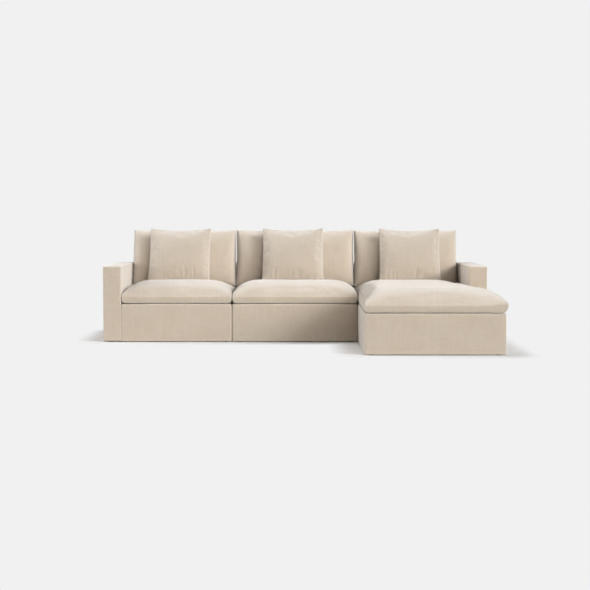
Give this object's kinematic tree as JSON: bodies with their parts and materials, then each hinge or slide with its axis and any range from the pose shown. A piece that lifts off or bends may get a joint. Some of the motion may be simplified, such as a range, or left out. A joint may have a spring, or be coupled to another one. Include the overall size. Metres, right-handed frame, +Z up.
{
  "type": "sectional sofa with chaise",
  "caption": "Low modular sectional sofa with a right-hand chaise, upholstered bases, loose crowned seat cushions, leaning back cushions and throw pillows.",
  "frame": {"origin": "on the floor under the middle of the whole sofa's box", "axes": "+X along the sofa towards the chaise's end, +Y to the back, +Z up"},
  "size_m": [3.066, 1.95, 0.8918],
  "materials": {
    "upholstery": "matte",
    "pillow_fabric": "matte",
    "deck_cloth": "matte",
    "dust_cloth": "matte",
    "webbing": "matte",
    "timber": "satin",
    "steel": "satin",
    "foot": "matte"
  },
  "bodies": {
    "root": {"centre_front_rail": "timber", "centre_seat_webbing": "webbing", "centre_back_frame": "timber", "centre_front_panel": "upholstery", "centre_back_cover": "upholstery", "centre_deck_pad": "deck_cloth", "centre_left_rail": "timber", "centre_right_rail": "timber", "centre_dust_cover": "dust_cloth", "centre_foot_front_left": "foot", "centre_foot_front_right": "foot", "centre_foot_rear_left": "foot", "centre_foot_rear_right": "foot", "centre_left_cleat": "steel", "centre_right_cleat": "steel"},
    "left_module": {"left_arm_frame": "timber", "left_arm_cover": "upholstery", "left_front_rail": "timber", "left_seat_webbing": "webbing", "left_back_frame": "timber", "left_front_panel": "upholstery", "left_back_cover": "upholstery", "left_deck_pad": "deck_cloth", "left_side_rail": "timber", "left_dust_cover": "dust_cloth", "left_foot_front_outer": "foot", "left_foot_front_inner": "foot", "left_foot_rear_outer": "foot", "left_foot_rear_inner": "foot", "left_cleat": "steel"},
    "chaise_module": {"chaise_arm_frame": "timber", "chaise_arm_cover": "upholstery", "chaise_front_rail": "timber", "chaise_left_rail": "timber", "chaise_right_rail": "timber", "chaise_back_frame": "timber", "chaise_front_panel": "upholstery", "chaise_left_panel": "upholstery", "chaise_right_panel": "upholstery", "chaise_back_cover": "upholstery", "chaise_seat_webbing": "webbing", "chaise_deck_pad": "deck_cloth", "chaise_dust_cover": "dust_cloth", "chaise_foot_front_left": "foot", "chaise_foot_front_right": "foot", "chaise_foot_middle_left": "foot", "chaise_foot_middle_right": "foot", "chaise_foot_rear_left": "foot", "chaise_foot_rear_right": "foot", "chaise_cleat": "steel"},
    "left_seat_cushion": {"left_seat_cushion": "upholstery"},
    "left_back_cushion": {"left_back_cushion": "upholstery"},
    "left_throw_pillow": {"left_throw_pillow": "pillow_fabric"},
    "centre_seat_cushion": {"centre_seat_cushion": "upholstery"},
    "centre_back_cushion": {"centre_back_cushion": "upholstery"},
    "centre_throw_pillow": {"centre_throw_pillow": "pillow_fabric"},
    "chaise_seat_cushion": {"chaise_seat_cushion": "upholstery"},
    "chaise_back_cushion": {"chaise_back_cushion": "upholstery"},
    "chaise_throw_pillow": {"chaise_throw_pillow": "pillow_fabric"}
  },
  "joints": [
    {"name": "left_module_unhook", "type": "slide", "parent": "root", "child": "left_module", "axis": [0, 0, 1], "range_m": [0, 0.06]},
    {"name": "chaise_module_unhook", "type": "slide", "parent": "root", "child": "chaise_module", "axis": [0, 0, 1], "range_m": [0, 0.06]},
    {"name": "left_seat_cushion_pull", "type": "slide", "parent": "left_module", "child": "left_seat_cushion", "axis": [0, -1, 0], "range_m": [0, 0.9]},
    {"name": "left_back_cushion_lift", "type": "slide", "parent": "left_module", "child": "left_back_cushion", "axis": [0, 0.342, 0.9397], "range_m": [0, 0.4]},
    {"name": "left_throw_pillow_lift", "type": "slide", "parent": "left_back_cushion", "child": "left_throw_pillow", "axis": [0, -0.7071, 0.7071], "range_m": [0, 0.35]},
    {"name": "centre_seat_cushion_pull", "type": "slide", "parent": "root", "child": "centre_seat_cushion", "axis": [0, -1, 0], "range_m": [0, 0.9]},
    {"name": "centre_back_cushion_lift", "type": "slide", "parent": "root", "child": "centre_back_cushion", "axis": [0, 0.342, 0.9397], "range_m": [0, 0.4]},
    {"name": "centre_throw_pillow_lift", "type": "slide", "parent": "centre_back_cushion", "child": "centre_throw_pillow", "axis": [0, -0.7071, 0.7071], "range_m": [0, 0.35]},
    {"name": "chaise_seat_cushion_pull", "type": "slide", "parent": "chaise_module", "child": "chaise_seat_cushion", "axis": [0, -1, 0], "range_m": [0, 1.9]},
    {"name": "chaise_back_cushion_lift", "type": "slide", "parent": "chaise_module", "child": "chaise_back_cushion", "axis": [0, 0.342, 0.9397], "range_m": [0, 0.4]},
    {"name": "chaise_throw_pillow_lift", "type": "slide", "parent": "chaise_back_cushion", "child": "chaise_throw_pillow", "axis": [0, -0.7071, 0.7071], "range_m": [0, 0.35]}
  ]
}
